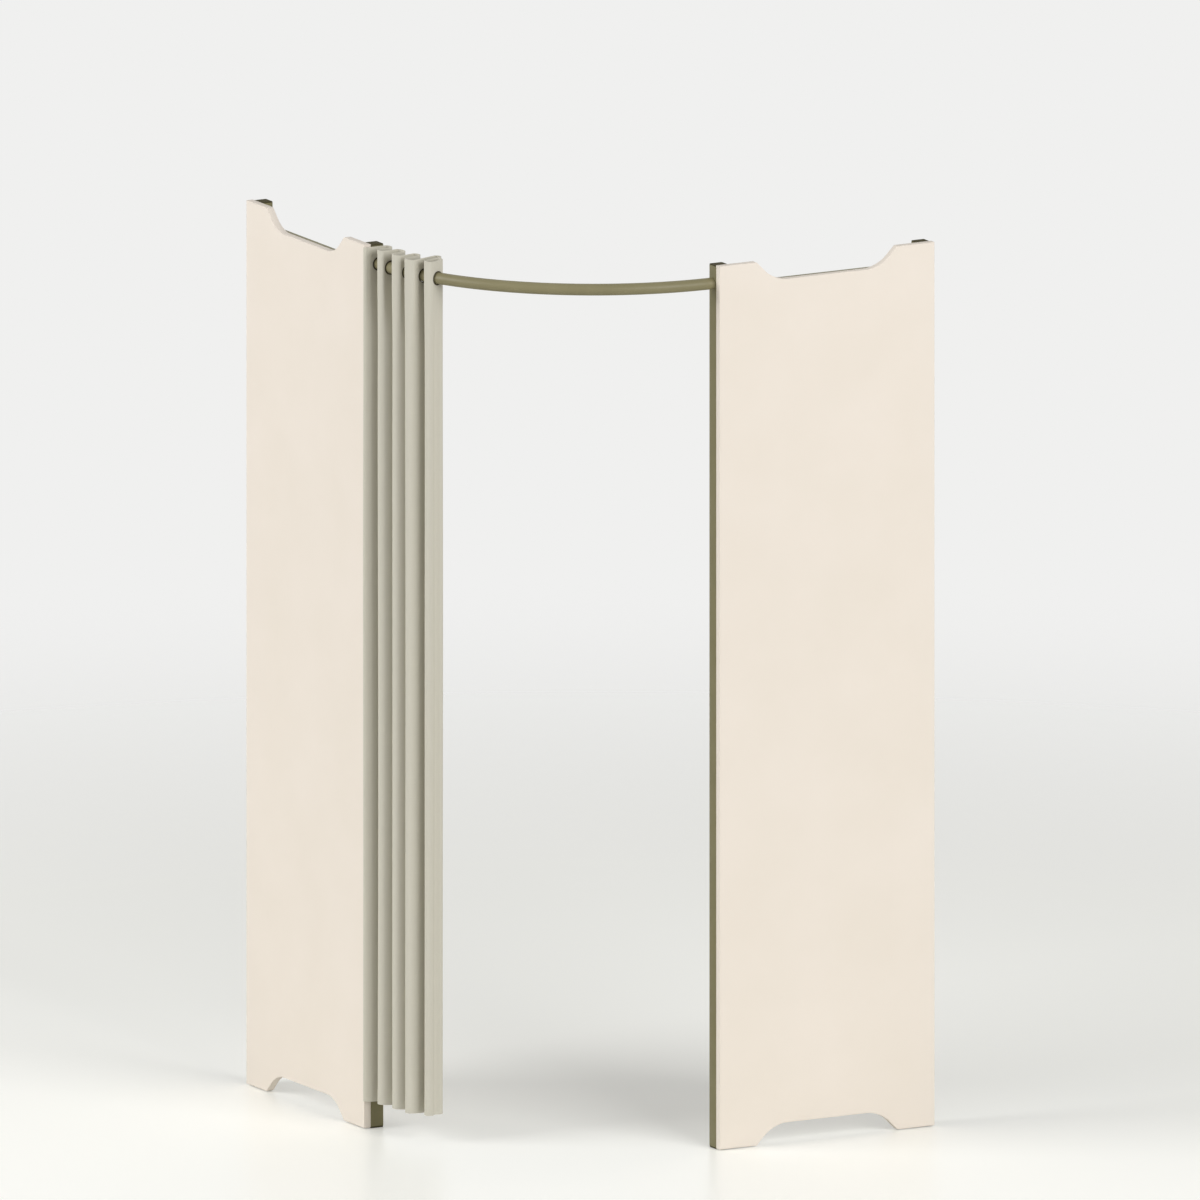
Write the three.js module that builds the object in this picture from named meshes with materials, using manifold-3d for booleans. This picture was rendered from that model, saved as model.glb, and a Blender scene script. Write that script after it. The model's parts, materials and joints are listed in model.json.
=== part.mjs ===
// A corner fitting room for a shop. Two side panels on square posts stand at right angles,
// a quarter-round rail joins their front posts across the entrance, and a curtain on
// eyelets is gathered at the left end of the rail.
// Millimetres, +Z up. The feet stand on Z = 0, and the back edges of the panels lie in the
// planes X = cabinSide / 2 and Y = cabinSide / 2.
import * as THREE from 'three';
import { mergeVertices } from 'three/addons/utils/BufferGeometryUtils.js';
import Module from 'manifold-3d';

const wasm = await Module();
wasm.setup();

// Cabin
const cabinSide = 1200;
const cabinHeight = 2140;
const seatGap = 0.3;
const overrun = 4;

// Panels: coated board, with the same cut-out in the top and the bottom edge
const panelWidth = 580;
const panelThickness = 18;
const panelFloorGap = 2.5;
const cutoutInset = 100;
const cutoutDepth = 48;
const cutoutFillet = 80;
const cutoutLip = 5;

// Posts: square steel tube behind each side edge of a panel
const postSide = 35;
const postWall = 2;
const postCorner = 3;
const capDrop = 1.5;
const capLid = 2.5;
const capInset = 0.3;
const capDepth = 12;
const capWall = 3;
const glideHeight = 4;
const glidePlug = 16;
const glideInset = 0.5;

// Cross rails: flat tube between the two posts of a panel, under and over its cut-outs
const crossHeight = 30;
const crossDepth = 10;
const crossWall = 1.5;
const crossCorner = 1;

// Screws through the posts into the panels, and fixing holes in the back posts
const screwRadius = 2.4;
const screwBite = 12;
const screwTip = 4;
const screwHeadRadius = 5;
const screwHeadHeight = 3;
const screwRimShare = 0.5;
const screwCrownShare = 0.5;
const screwHeightShares = [0.04, 0.5, 0.96];
const wallHoleRadius = 4;
const wallAccessRadius = 9;
const wallHoleHeightShares = [0.12, 0.5, 0.88];

// Curtain rail: round tube from front post to front post, bolted through each post
const railRadius = 14;
const railWall = 1.5;
const railDrop = 47;
const railSteps = 36;
const plugLength = 15;
const plugClearance = 0.5;
const boltRadius = 4;
const boltBite = 12;
const boltHeadRadius = 7;
const boltHeadHeight = 4.4;
const boltRimShare = 0.35;
const boltCrownShare = 0.6;
const boltSocketRadius = 2.9;
const boltSocketDepth = 2.4;

// Curtain: each fold crosses the rail at an eyelet, and turns back outside and inside it.
// Eyelet places are shares of the gathered length along the rail. Reaches count from the
// rail's line, outwards for even turns and inwards for odd ones.
const clothThickness = 2;
const clothTop = 42;
const hemHeight = 68;
const firstEyelet = 7.7;
const gatheredLength = 216;
const eyeletShares = [0, 0.126, 0.238, 0.391, 0.538, 0.653, 0.793, 0.891, 1];
const foldReach = 48;
const reachShares = [0.79, 0.505, 0.505, 0.505, 0.515, 0.505, 0.75, 0.935, 0.51, 0.505];
const turnDepth = 7;
const firstEdgeCurl = -5.7;
const lastEdgeCurl = -11;
const eyeletBore = 15;
const eyeletWall = 1;
const eyeletRim = 17.2;
const eyeletPlate = 1.2;

// Facets
const cornerSteps = 3;
const filletSteps = 7;
const turnSteps = 6;
const boltSides = 10;
const eyeletSides = 16;
const railSides = 16;

// Where things are, worked out from the sizes above
const frontLine = cabinSide / 2 - panelWidth;
const outerFace = -cabinSide / 2;
const postMiddle = panelThickness + postSide / 2;
const postTop = cabinHeight - capDrop - capLid - seatGap;
const bendRadius = frontLine - outerFace - postMiddle;
const railHeight = cabinHeight - railDrop;
const eyeletHeight = railHeight - (eyeletBore - railRadius - seatGap);

const paint = { roughness: 0.5, metalness: 0.2 };
const looks = {
  panel: new THREE.MeshStandardMaterial({ color: '#ecdfd0', roughness: 0.6, metalness: 0 }),
  frame: new THREE.MeshStandardMaterial({ color: '#8a8363', ...paint }),
  plastic: new THREE.MeshStandardMaterial({ color: '#4a4734', roughness: 0.6, metalness: 0 }),
  steel: new THREE.MeshStandardMaterial({ color: '#a9a8a2', roughness: 0.35, metalness: 1 }),
  cloth: new THREE.MeshStandardMaterial({ color: '#cbc5b5', roughness: 0.9, metalness: 0 }),
  eyelet: new THREE.MeshStandardMaterial({ color: '#48422e', roughness: 0.5, metalness: 0.3 }),
};

// Each panel with its posts makes one side. Along runs from the panel's front edge to its
// back edge, and inward from the panel's outer face into the cabin.
const sides = {
  left: { along: new THREE.Vector3(0, 1, 0), inward: new THREE.Vector3(1, 0, 0), turn: Math.PI / 2 },
  right: { along: new THREE.Vector3(1, 0, 0), inward: new THREE.Vector3(0, 1, 0), turn: 0 },
};

const fittingRoom = new THREE.Group();

function add(name, geometry, material, place) {
  const mesh = new THREE.Mesh(geometry, material);
  mesh.name = name;
  mesh.position.copy(place);
  fittingRoom.add(mesh);
}

// The point of a side that lies this far along, inward and up.
function spot(side, along, inward, height) {
  return new THREE.Vector3(0, 0, height)
    .addScaledVector(side.along, frontLine + along)
    .addScaledVector(side.inward, outerFace + inward);
}

// A closed outline through corners [x, y, radius], each rounded by its own radius.
function roundedOutline(corners, Kind = THREE.Shape) {
  const outline = new Kind();
  corners.forEach(([x, y, radius], i) => {
    const draw = i ? 'lineTo' : 'moveTo';
    if (radius === 0) {
      outline[draw](x, y);
      return;
    }
    const corner = new THREE.Vector2(x, y);
    const [before, after] = [corners.at(i - 1), corners[(i + 1) % corners.length]]
      .map(([nx, ny]) => new THREE.Vector2(nx, ny).sub(corner).normalize());
    const half = Math.acos(before.dot(after)) / 2;
    const centre = before.clone().add(after).normalize().multiplyScalar(radius / Math.sin(half));
    centre.add(corner);
    const ends = [before, after]
      .map((way) => way.clone().multiplyScalar(radius / Math.tan(half)).add(corner));
    const angles = ends.map((end) => Math.atan2(end.y - centre.y, end.x - centre.x));
    outline[draw](ends[0].x, ends[0].y);
    outline.absarc(centre.x, centre.y, radius, ...angles, before.cross(after) > 0);
  });
  return outline;
}

function rectangle(width, depth, radius, Kind = THREE.Shape) {
  const [x, y] = [width / 2, depth / 2];
  return roundedOutline([[-x, -y, radius], [x, -y, radius], [x, y, radius], [-x, y, radius]], Kind);
}

// An outline in the XY plane raised along +Z.
function prism(outline, height, curveSegments = cornerSteps) {
  return new THREE.ExtrudeGeometry(outline, { depth: height, bevelEnabled: false, curveSegments });
}

// A radius whose flats, not its corners, lie at the given distance.
function flatsRadius(radius, count) {
  return radius / Math.cos(Math.PI / count);
}

// A round bar on the Z axis from the origin up.
function bar(radius, length, count = boltSides) {
  return new THREE.CylinderGeometry(radius, radius, length, count)
    .rotateX(Math.PI / 2)
    .translate(0, 0, length / 2);
}

// A profile of [radius, height] points turned about the Z axis.
function turned(profile, count) {
  const points = profile.map(([radius, height]) => new THREE.Vector2(radius, height));
  return new THREE.LatheGeometry(points, count).rotateX(Math.PI / 2);
}

// Turns a geometry's +Z to a direction.
function aimed(geometry, direction) {
  const turn = new THREE.Quaternion().setFromUnitVectors(new THREE.Vector3(0, 0, 1), direction);
  return geometry.applyQuaternion(turn);
}

// A closed geometry as a solid, for cutting and joining.
function toSolid(geometry) {
  const bare = geometry.clone();
  bare.deleteAttribute('normal');
  bare.deleteAttribute('uv');
  const merged = mergeVertices(bare);
  return new wasm.Manifold(new wasm.Mesh({
    numProp: 3,
    vertProperties: merged.attributes.position.array,
    triVerts: Uint32Array.from(merged.index.array),
  }));
}

function toGeometry(solid) {
  const mesh = solid.getMesh();
  const result = new THREE.BufferGeometry();
  result.setAttribute('position', new THREE.BufferAttribute(mesh.vertProperties, mesh.numProp));
  result.setIndex(new THREE.BufferAttribute(mesh.triVerts, 1));
  result.computeVertexNormals();
  return result;
}

function cut(geometry, tools) {
  return toGeometry(tools.reduce((rest, tool) => rest.subtract(toSolid(tool)), toSolid(geometry)));
}

// The heights of a row of fixings on a panel's posts.
function panelHeights(shares) {
  return shares.map((share) => panelFloorGap + share * (cabinHeight - panelFloorGap));
}

// Half of a cut-out's outline, from an edge of the panel to the cut-out's deep edge.
function cutoutCorners(edge, depth) {
  return [[cutoutInset, edge, cutoutLip], [cutoutInset + cutoutDepth, edge + depth, cutoutFillet]];
}

function panelOutline() {
  const across = (corners) => {
    const mirrored = corners.map(([x, y, radius]) => [panelWidth - x, y, radius]);
    return [...corners, ...mirrored.reverse()];
  };
  return roundedOutline([
    [0, panelFloorGap, 0],
    ...across(cutoutCorners(panelFloorGap, cutoutDepth)),
    [panelWidth, panelFloorGap, 0],
    [panelWidth, cabinHeight, 0],
    ...across(cutoutCorners(cabinHeight, -cutoutDepth)).reverse(),
    [0, cabinHeight, 0],
  ]);
}

// A board with pilot holes on its inner face, just clear of the plane Z = 0.
function panelGeometry(side) {
  const board = prism(panelOutline(), panelThickness, filletSteps)
    .rotateX(Math.PI / 2)
    .translate(-panelWidth / 2, panelThickness / 2, 0);
  const pilot = flatsRadius(screwRadius + seatGap, boltSides);
  const into = side.turn === 0 ? -1 : 1;
  const holes = panelHeights(screwHeightShares).flatMap((height) =>
    [-1, 1].map((end) => bar(pilot, screwBite + overrun)
      .translate(0, 0, panelThickness / 2 - screwBite - seatGap)
      .rotateX(into * Math.PI / 2)
      .translate(end * (panelWidth - postSide) / 2, 0, height)));
  return cut(board, holes).rotateZ(side.turn);
}

// Holes along a post's depth or its width, at each height above the post's foot.
function postHoles(radius, heights, turn) {
  const length = postSide + 2 * overrun;
  return heights.map((height) => bar(flatsRadius(radius, boltSides), length)
    .translate(0, 0, -length / 2)
    .rotateX(Math.PI / 2)
    .rotateZ(turn)
    .translate(0, 0, height - glideHeight));
}

function postGeometry(side, atWall) {
  const outline = rectangle(postSide, postSide, postCorner);
  const bore = postSide - 2 * postWall;
  outline.holes.push(rectangle(bore, bore, postCorner - postWall, THREE.Path));
  const tube = prism(outline, postTop - glideHeight);
  const screwHoles = postHoles(screwRadius + seatGap, panelHeights(screwHeightShares), 0);
  const wallHeights = panelHeights(wallHoleHeightShares);
  const wallHoles = postHoles(wallHoleRadius, wallHeights, Math.PI / 2);
  const accessHoles = postHoles(wallAccessRadius, wallHeights, Math.PI / 2)
    .map((hole) => hole.translate(-postSide, 0, 0));
  const boltHole = postHoles(boltRadius + seatGap, [railHeight], Math.PI / 2);
  const holes = atWall ? [...wallHoles, ...accessHoles] : boltHole;
  return cut(tube, [...screwHoles, ...holes]).rotateZ(side.turn);
}

// A square plate with a plug on it that fills the bore of a post.
function pluggedPlate(inset, plateHeight, plugHeight) {
  const side = postSide - 2 * inset;
  const width = postSide - 2 * (postWall + seatGap);
  const plate = prism(rectangle(side, side, postCorner), plateHeight);
  const plug = prism(rectangle(width, width, postCorner - postWall), plateHeight + plugHeight);
  return toGeometry(toSolid(plate).add(toSolid(plug)));
}

// A lid on the post's top, with a cup-shaped plug that is pressed into the bore.
function capGeometry() {
  const hollow = postSide - 2 * (postWall + seatGap + capWall);
  const cavity = prism(rectangle(hollow, hollow, postCorner - postWall), capDepth);
  const cap = pluggedPlate(capInset, capLid, seatGap + capDepth);
  return cut(cap, [cavity.translate(0, 0, capLid + seatGap + capWall)]).rotateX(Math.PI);
}

// A foot under the post, with a plug that goes up into the bore.
function glideGeometry() {
  return pluggedPlate(glideInset, glideHeight - seatGap, seatGap + glidePlug);
}

// A flat tube lying along the side, with open ends.
function crossGeometry(side) {
  const outline = rectangle(crossHeight, crossDepth, crossCorner);
  outline.holes.push(rectangle(
    crossHeight - 2 * crossWall, crossDepth - 2 * crossWall, crossCorner / 2, THREE.Path));
  const length = panelWidth - 2 * postSide;
  return prism(outline, length)
    .translate(0, 0, -length / 2)
    .rotateY(Math.PI / 2)
    .rotateZ(side.turn);
}

function screwGeometry() {
  const length = postSide + screwBite;
  return turned([
    [0, -length], [screwRadius, screwTip - length], [screwRadius, 0], [screwHeadRadius, 0],
    [screwHeadRadius, screwHeadHeight * screwRimShare],
    [screwHeadRadius * screwCrownShare, screwHeadHeight], [0, screwHeadHeight],
  ], boltSides);
}

// The rail's line: the plan angle runs from the left post to the right one.
function railPoint(angle, offset, height) {
  const reach = bendRadius + offset;
  return new THREE.Vector3(-reach * Math.cos(angle), -reach * Math.sin(angle), height);
}

class RailLine extends THREE.Curve {
  getPoint(share) {
    const start = seatGap / bendRadius;
    return railPoint(start + share * (Math.PI / 2 - 2 * start), 0, 0);
  }
}

function railGeometry() {
  const circle = (radius, Kind) => {
    const path = new Kind();
    for (let i = 0; i < railSides; i += 1) {
      const angle = (2 * Math.PI * i) / railSides;
      path[i ? 'lineTo' : 'moveTo'](radius * Math.cos(angle), radius * Math.sin(angle));
    }
    path.closePath();
    return path;
  };
  const section = circle(railRadius, THREE.Shape);
  section.holes.push(circle(railRadius - railWall, THREE.Path));
  return new THREE.ExtrudeGeometry(section, { steps: railSteps, extrudePath: new RailLine() });
}

// A sleeve in each end of the rail, which the bolt through the post screws into.
function plugGeometry() {
  const sleeve = bar(railRadius - railWall - plugClearance, plugLength, railSides);
  const thread = bar(flatsRadius(boltRadius + seatGap, boltSides), plugLength + 2 * overrun);
  return cut(sleeve, [thread.translate(0, 0, -overrun)]);
}

function boltGeometry() {
  const shank = boltBite + seatGap + postSide;
  return turned([
    [0, -shank], [boltRadius, -shank], [boltRadius, 0], [boltHeadRadius, 0],
    [boltHeadRadius, boltHeadHeight * boltRimShare],
    [boltHeadRadius * boltCrownShare, boltHeadHeight],
    [boltSocketRadius, boltHeadHeight], [boltSocketRadius, boltHeadHeight - boltSocketDepth],
    [0, boltHeadHeight - boltSocketDepth],
  ], boltSides);
}

// Plan angles of the eyelets and of the turns before, between and after them.
const eyeletAngles = eyeletShares.map((share) => (firstEyelet + share * gatheredLength) / bendRadius);
const turnAngles = reachShares.map((_, turn) => {
  if (turn === 0) return eyeletAngles[0] + firstEdgeCurl / bendRadius;
  if (turn === eyeletAngles.length) return eyeletAngles.at(-1) + lastEdgeCurl / bendRadius;
  return (eyeletAngles[turn - 1] + eyeletAngles[turn]) / 2;
});

// The line of the cloth from an eyelet to one of its turns, as plan points.
function clothLine(eyelet, turn) {
  const way = turn % 2 ? -1 : 1;
  const straight = way * (foldReach * reachShares[turn] - turnDepth);
  const points = [];
  for (let i = 1; i <= turnSteps; i += 1) {
    const swing = (Math.PI / 2) * (i / turnSteps);
    const angle = THREE.MathUtils.lerp(
      eyeletAngles[eyelet], turnAngles[turn], 1 - Math.cos(swing));
    points.push(railPoint(angle, straight + way * turnDepth * Math.sin(swing), 0));
  }
  const last = points.at(-1);
  const gap = points.at(-2).clone().sub(last).setLength(seatGap / 2);
  last.add(gap);
  return [railPoint(eyeletAngles[eyelet], straight, 0), ...points];
}

// A closed outline of the cloth's thickness around a line of plan points.
function clothOutline(points) {
  const edges = [1, -1].map((way) => points.map((point, i) => {
    const before = points[Math.max(i - 1, 0)];
    const after = points[Math.min(i + 1, points.length - 1)];
    const along = after.clone().sub(before).normalize();
    const across = new THREE.Vector3(-along.y, along.x, 0);
    const edge = point.clone().addScaledVector(across, way * clothThickness / 2);
    return new THREE.Vector2(edge.x, edge.y);
  }));
  return new THREE.Shape([...edges[0], ...edges[1].reverse()]);
}

// One fold: cloth from turn to turn through an eyelet, with a hole for the eyelet.
function foldGeometry(eyelet) {
  const line = [...clothLine(eyelet, eyelet).reverse(), ...clothLine(eyelet, eyelet + 1)];
  const cloth = prism(clothOutline(line), railHeight + clothTop - hemHeight);
  const length = 2 * (eyeletRim + overrun);
  const hole = bar(flatsRadius(eyeletBore + eyeletWall + seatGap, eyeletSides), length, eyeletSides)
    .translate(0, 0, -length / 2);
  const place = railPoint(eyeletAngles[eyelet], 0, eyeletHeight - hemHeight);
  return cut(cloth, [aimed(hole, tangent(eyelet)).translate(place.x, place.y, place.z)]);
}

function tangent(eyelet) {
  const angle = eyeletAngles[eyelet];
  return new THREE.Vector3(Math.sin(angle), -Math.cos(angle), 0);
}

// An eyelet ring, grooved for the cloth's edge.
function eyeletGeometry(eyelet) {
  const groove = clothThickness / 2 + seatGap;
  const face = groove + eyeletPlate;
  const bore = flatsRadius(eyeletBore, eyeletSides);
  const web = eyeletBore + eyeletWall;
  const ring = turned([
    [bore, face], [bore, -face], [eyeletRim, -face], [eyeletRim, -groove], [web, -groove],
    [web, groove], [eyeletRim, groove], [eyeletRim, face], [bore, face],
  ], eyeletSides);
  return aimed(ring, tangent(eyelet));
}

for (const [name, side] of Object.entries(sides)) {
  const panelMiddle = spot(side, panelWidth / 2, panelThickness / 2, 0);
  add(`${name}_panel`, panelGeometry(side), looks.panel, panelMiddle);
  const postPlaces = { front: postSide / 2, wall: panelWidth - postSide / 2 };
  for (const [end, along] of Object.entries(postPlaces)) {
    const place = (height) => spot(side, along, postMiddle, height);
    add(`${name}_${end}_post`, postGeometry(side, end === 'wall'), looks.frame, place(glideHeight));
    add(`${name}_${end}_cap`, capGeometry(), looks.plastic, place(cabinHeight - capDrop));
    add(`${name}_${end}_glide`, glideGeometry(), looks.plastic, place(0));
    panelHeights(screwHeightShares).forEach((height, i) => {
      const seat = spot(side, along, panelThickness + postSide + seatGap, height);
      add(`${name}_${end}_screw_${i + 1}`, aimed(screwGeometry(), side.inward), looks.steel, seat);
    });
  }
  const crossEdge = cutoutDepth + crossHeight / 2;
  const crossPlaces = { upper: cabinHeight - crossEdge, lower: panelFloorGap + crossEdge };
  for (const [level, height] of Object.entries(crossPlaces)) {
    const place = spot(side, panelWidth / 2, panelThickness + crossDepth / 2, height);
    add(`${name}_${level}_cross_rail`, crossGeometry(side), looks.frame, place);
  }
  const plugPlace = spot(side, -seatGap - plugLength, postMiddle, railHeight);
  add(`${name}_rail_plug`, aimed(plugGeometry(), side.along), looks.steel, plugPlace);
  const boltPlace = spot(side, postSide + seatGap, postMiddle, railHeight);
  add(`${name}_rail_bolt`, aimed(boltGeometry(), side.along), looks.steel, boltPlace);
}

const railCentre = new THREE.Vector3(frontLine, frontLine, 0);
add('curtain_rail', railGeometry(), looks.frame, railCentre.clone().setZ(railHeight));
eyeletAngles.forEach((angle, eyelet) => {
  const number = eyelet + 1;
  const hem = railCentre.clone().setZ(hemHeight);
  add(`curtain_fold_${number}`, foldGeometry(eyelet), looks.cloth, hem);
  const place = railPoint(angle, 0, eyeletHeight).add(railCentre);
  add(`eyelet_${number}`, eyeletGeometry(eyelet), looks.eyelet, place);
});

export default fittingRoom;
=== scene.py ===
# %% [markdown]
# A corner fitting room with an eyelet curtain
#
# Two cream side panels stand at right angles, and a round rail bends across the entrance
# from one front post to the other, with an eyelet curtain gathered at its left end. The
# construction comes packed as a fixed frame of plain solids. This lesson models each of
# them again, finer, and gives it its finish.

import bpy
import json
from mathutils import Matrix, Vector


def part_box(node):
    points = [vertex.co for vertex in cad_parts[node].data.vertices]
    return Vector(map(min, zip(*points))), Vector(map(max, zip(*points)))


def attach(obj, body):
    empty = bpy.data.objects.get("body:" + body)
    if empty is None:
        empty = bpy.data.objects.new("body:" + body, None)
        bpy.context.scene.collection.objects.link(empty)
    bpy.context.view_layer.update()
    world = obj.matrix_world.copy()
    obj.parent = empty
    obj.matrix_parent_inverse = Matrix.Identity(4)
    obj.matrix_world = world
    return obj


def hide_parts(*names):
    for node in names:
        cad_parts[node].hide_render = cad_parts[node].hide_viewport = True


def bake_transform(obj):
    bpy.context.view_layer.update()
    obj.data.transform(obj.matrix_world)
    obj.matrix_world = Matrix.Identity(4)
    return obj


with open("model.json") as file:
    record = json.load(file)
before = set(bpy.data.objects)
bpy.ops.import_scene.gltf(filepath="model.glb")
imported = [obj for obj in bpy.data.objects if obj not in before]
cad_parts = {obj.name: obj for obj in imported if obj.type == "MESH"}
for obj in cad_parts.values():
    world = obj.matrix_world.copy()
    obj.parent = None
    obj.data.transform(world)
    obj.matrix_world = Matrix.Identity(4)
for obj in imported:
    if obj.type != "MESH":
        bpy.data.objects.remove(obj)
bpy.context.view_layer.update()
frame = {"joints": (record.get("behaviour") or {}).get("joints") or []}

# %% Modules and units
import json
import math
from contextlib import contextmanager

import bmesh
import bpy
from mathutils import Matrix, Vector

MM = 0.001
TOUCH = 0.001 * MM
UP = Vector((0, 0, 1))
print("Blender", bpy.app.version_string)

# %% [markdown]
# The photograph has no perspective: its upright edges are parallel. So the camera is
# orthographic. Its two angles, its scale and the pixel where the frame's origin lies were
# fitted to corners of the panels and posts.

# %% Camera
PHOTO_SIDE = 1200
PIXELS_PER_MM = 0.422465
ORIGIN_PIXEL = (590.475, 1105.255)
CAMERA_AZIMUTH = -28.736
CAMERA_ELEVATION = 12.045
CAMERA_DISTANCE = 8


def towards(azimuth, elevation):
    """The direction from the object to a viewer or a lamp, from two angles in degrees."""
    a, e = math.radians(azimuth), math.radians(elevation)
    return Vector((math.sin(a) * math.cos(e), -math.cos(a) * math.cos(e), math.sin(e)))


camera_back = towards(CAMERA_AZIMUTH, CAMERA_ELEVATION)
camera_right = UP.cross(camera_back).normalized()
camera_up = camera_back.cross(camera_right)
metres_per_pixel = MM / PIXELS_PER_MM
across = (PHOTO_SIDE / 2 - ORIGIN_PIXEL[0]) * metres_per_pixel
above = (ORIGIN_PIXEL[1] - PHOTO_SIDE / 2) * metres_per_pixel

bpy.ops.object.camera_add(
    location=camera_right * across + camera_up * above + camera_back * CAMERA_DISTANCE,
    rotation=Matrix((camera_right, camera_up, camera_back)).transposed().to_euler())
camera = bpy.context.object
camera.data.type = "ORTHO"
camera.data.ortho_scale = PHOTO_SIDE * metres_per_pixel
bpy.context.scene.camera = camera
print("the picture is", round(camera.data.ortho_scale, 3), "m wide")

# %% [markdown]
# A colour picked from a picture is stored for a screen, and shaders want linear light, so
# every colour is turned once, here. Each finish is a small tree of nodes on a Principled
# shader. A number that is the same all over stays on the shader's own socket.

# %% Colours, and nodes in general
def picked(red, green, blue):
    """A colour picked from a picture, 0 to 255, as the linear colour that shaders take."""
    shares = [channel / 255 for channel in (red, green, blue)]
    return (*[s / 12.92 if s <= 0.04045 else ((s + 0.055) / 1.055) ** 2.4 for s in shares], 1)


def connect(tree, value, socket):
    """Leads another node's output to a socket, or sets the socket to a value."""
    if isinstance(value, bpy.types.NodeSocket):
        tree.links.new(value, socket)
    else:
        socket.default_value = value


def add_node(tree, kind, settings=None, **sockets):
    """A node with these settings, and with a value or another node's output on each socket."""
    made = tree.nodes.new(kind)
    for setting, value in (settings or {}).items():
        setattr(made, setting, value)
    for socket, value in sockets.items():
        connect(tree, value, made.inputs[socket.replace("_", " ")])
    return made


def calculated(tree, operation, *values):
    """The result of a Math node."""
    made = add_node(tree, "ShaderNodeMath", {"operation": operation})
    for value, socket in zip(values, made.inputs):
        connect(tree, value, socket)
    return made.outputs["Value"]


print("half grey on a screen is", round(picked(128, 128, 128)[0], 3), "in linear light")


# %% Helpers for finishes
def new_finish(name, colour, **sockets):
    """A material with these values on its shader, its node tree and its shader."""
    material = bpy.data.materials.new(name)
    material.use_nodes = True
    shader = material.node_tree.nodes["Principled BSDF"]
    shader.inputs["Base Color"].default_value = colour
    for socket, value in sockets.items():
        shader.inputs[socket.replace("_", " ")].default_value = value
    return material, material.node_tree, shader


def noise(tree, place, scale, detail=2):
    """Soft noise, with this many waves to a metre."""
    made = add_node(tree, "ShaderNodeTexNoise", Vector=place, Scale=scale, Detail=detail)
    return made.outputs["Fac"]


def ramp(tree, value, low=0, high=1):
    """A noise value, most of it from 0.3 to 0.7, spread from low to high."""
    made = add_node(tree, "ShaderNodeMapRange", Value=value, From_Min=0.3, From_Max=0.7,
                    To_Min=low, To_Max=high)
    return made.outputs["Result"]


def blended(tree, factor, first, second):
    """A colour between two. A Mix node takes colours on sockets 6 and 7, and gives one on 2."""
    made = add_node(tree, "ShaderNodeMix", {"data_type": "RGBA"}, Factor=factor)
    made.inputs[6].default_value = first
    made.inputs[7].default_value = second
    return made.outputs[2]


def add_bump(tree, shader, height, depth, strength=1):
    """Lets a height from 0 to 1 raise the surface by a depth in metres."""
    made = add_node(tree, "ShaderNodeBump", Height=height, Distance=depth, Strength=strength)
    tree.links.new(made.outputs["Normal"], shader.inputs["Normal"])


def object_place(tree):
    """The place on the piece, in metres. Pieces lie at the origin, so it is the frame's own."""
    return add_node(tree, "ShaderNodeTexCoord").outputs["Object"]


# %% [markdown]
# The panels are board with a matt cream laminate, and their cut edges carry a glued band
# of nearly the same cream. A laminate isn't one flat colour up close: the print is faintly
# cloudy over a hand's width, and the press plate leaves a fine pebble that breaks up the
# shine. Two noises of very different scale give the cloud and the pebble.

# %% Panel finish
CREAM = picked(243, 233, 221)
CREAM_CLOUD = picked(240, 230, 217)
BAND_CREAM = picked(242, 232, 220)


def laminate(name, colour):
    material, tree, shader = new_finish(name, colour, Specular_IOR_Level=0.35)
    place = object_place(tree)
    cloud = ramp(tree, noise(tree, place, scale=5, detail=4))
    connect(tree, blended(tree, cloud, colour, CREAM_CLOUD), shader.inputs["Base Color"])
    pebble = noise(tree, place, scale=900, detail=3)
    connect(tree, ramp(tree, pebble, low=0.5, high=0.62), shader.inputs["Roughness"])
    add_bump(tree, shader, pebble, depth=0.03 * MM)
    return material


panel_face = laminate("cream_laminate", CREAM)
panel_band = laminate("cream_edge_band", BAND_CREAM)
print("the panels take", panel_face.name, "and", panel_band.name)

# %% [markdown]
# The posts and cross rails are powder coated in an olive khaki, and the curtain rail in the
# same paint, set slightly paler as a painted highlight for the stronger light on its round
# side. Baked powder pulls into a skin like orange peel, with waves of about a millimetre, and
# dust and polish vary its gloss. Screws are zinc plated steel, brushed by the machine that made
# them. Caps and feet are moulded plastic, which a spark-eroded mould leaves with a fine grain.
# The eyelets have a dark olive enamel, whose gloss varies a little; its darkness is painted
# shade, for the shadow inside the holes round the rail.

# %% Metal and plastic finishes
KHAKI = picked(123, 117, 84)
KHAKI_WORN = picked(129, 123, 90)
# The rail's khaki is the posts' paint set paler: a painted highlight for the light on its round side.
# The worn tone beside it is real wear.
RAIL_KHAKI_PAINTED_LIGHT = picked(132, 125, 93)
RAIL_KHAKI_WORN_PAINTED_LIGHT = picked(138, 131, 99)
DARK_OLIVE = picked(76, 71, 50)
# The eyelets' dark olive is painted shade: it stands for the shadow inside the holes round the rail.
RING_OLIVE_PAINTED_SHADE = picked(72, 66, 46)
ZINC = picked(196, 195, 190)
BRUSH_STREAKS = (900, 900, 60)


def powder_coat(name, colour, worn):
    material, tree, shader = new_finish(name, colour, Specular_IOR_Level=0.3)
    place = object_place(tree)
    wear = ramp(tree, noise(tree, place, scale=14, detail=4))
    connect(tree, blended(tree, wear, colour, worn), shader.inputs["Base Color"])
    gloss = ramp(tree, noise(tree, place, scale=60, detail=3), low=0.38, high=0.5)
    connect(tree, gloss, shader.inputs["Roughness"])
    add_bump(tree, shader, noise(tree, place, scale=700), depth=0.06 * MM)
    return material


def moulded_plastic():
    material, tree, shader = new_finish("dark_olive_plastic", DARK_OLIVE, Specular_IOR_Level=0.08)
    grain = noise(tree, object_place(tree), scale=1600)
    connect(tree, ramp(tree, grain, low=0.6, high=0.8), shader.inputs["Roughness"])
    add_bump(tree, shader, grain, depth=0.05 * MM)
    return material


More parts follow.
